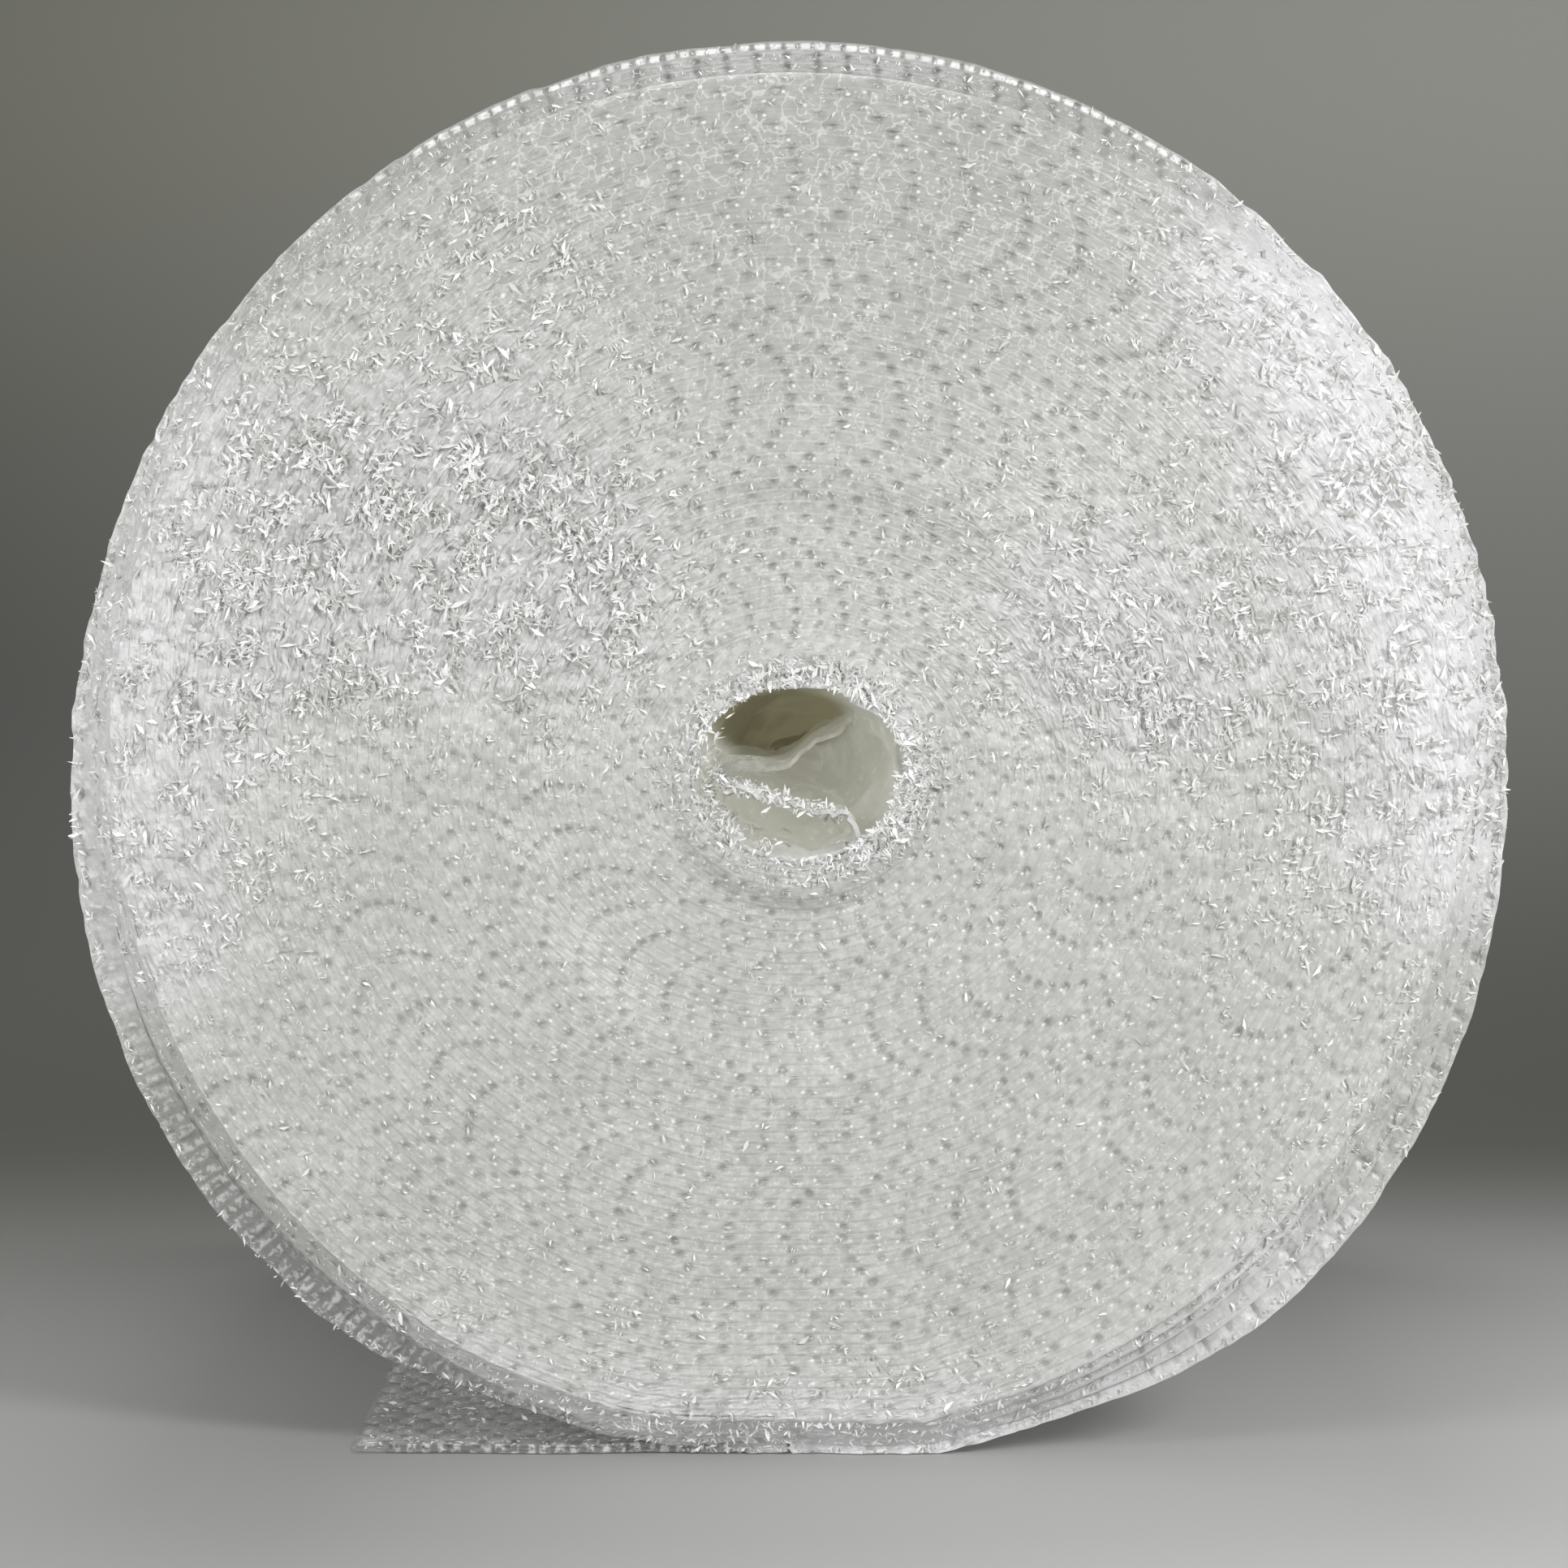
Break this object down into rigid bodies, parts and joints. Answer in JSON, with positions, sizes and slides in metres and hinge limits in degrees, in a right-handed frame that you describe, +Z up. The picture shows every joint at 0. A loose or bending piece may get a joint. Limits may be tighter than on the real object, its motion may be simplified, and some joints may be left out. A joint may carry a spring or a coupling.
{
  "type": "bubble film roll",
  "caption": "Large coreless roll of clear small-bubble cushioning film, lying on its curved side, with a soft crumpled hole and the free end of the web on the floor.",
  "frame": {"origin": "on the floor, midway along the roll and under the middle of its outline", "axes": "+Z up; the roll's axis lies along Y with the viewed end face towards -Y; the web's free end lies on the floor towards -X"},
  "size_m": [0.5005, 0.5, 0.4932],
  "materials": {
    "clear_film": "clear polyethylene film, glossy, milky white where its turns lie on each other"
  },
  "bodies": {
    "root": {"bubble_film_roll": "clear_film"}
  },
  "joints": []
}
